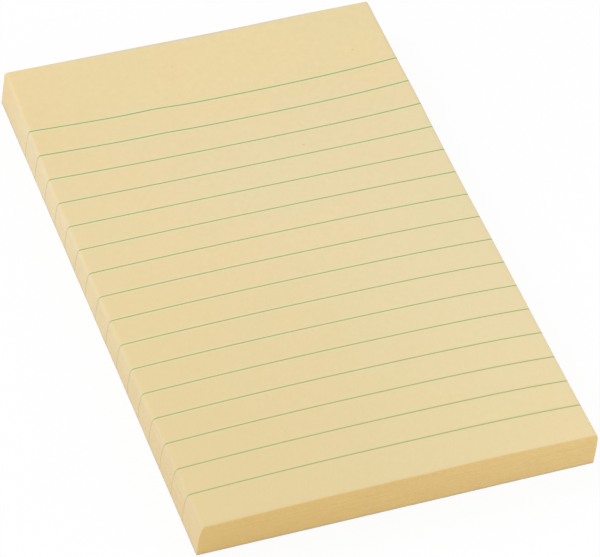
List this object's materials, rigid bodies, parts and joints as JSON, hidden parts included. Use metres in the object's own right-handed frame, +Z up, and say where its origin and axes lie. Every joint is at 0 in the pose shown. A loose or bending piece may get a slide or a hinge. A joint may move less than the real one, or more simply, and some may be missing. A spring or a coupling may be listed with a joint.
{
  "type": "lined sticky note pad",
  "caption": "Pale yellow pad of ruled sticky notes, held together by an adhesive band along the header end, for handwritten notes that peel off one by one.",
  "frame": {"origin": "centre of the pad's outline on its flat underside", "axes": "+X runs along the ruled lines, to the right as the notes are read, +Y runs up the page towards the header and its adhesive band, and +Z is up out of the top note"},
  "size_m": [0.0984, 0.1492, 0.0109],
  "materials": {
    "note_paper": "matt uncoated pale yellow paper",
    "line_ink": "thin matt green ink soaked into the paper",
    "cut_ink": "faint grey-green trace of the trimmed line ends",
    "adhesive": "thin low-tack adhesive film",
    "backing_paper": "thin smooth release-coated paper"
  },
  "bodies": {
    "root": {"note_stack": "note_paper", "ruled_lines": "line_ink", "cut_line_ends": "cut_ink", "adhesive_band": "adhesive", "backing_sheet": "backing_paper"}
  },
  "joints": []
}
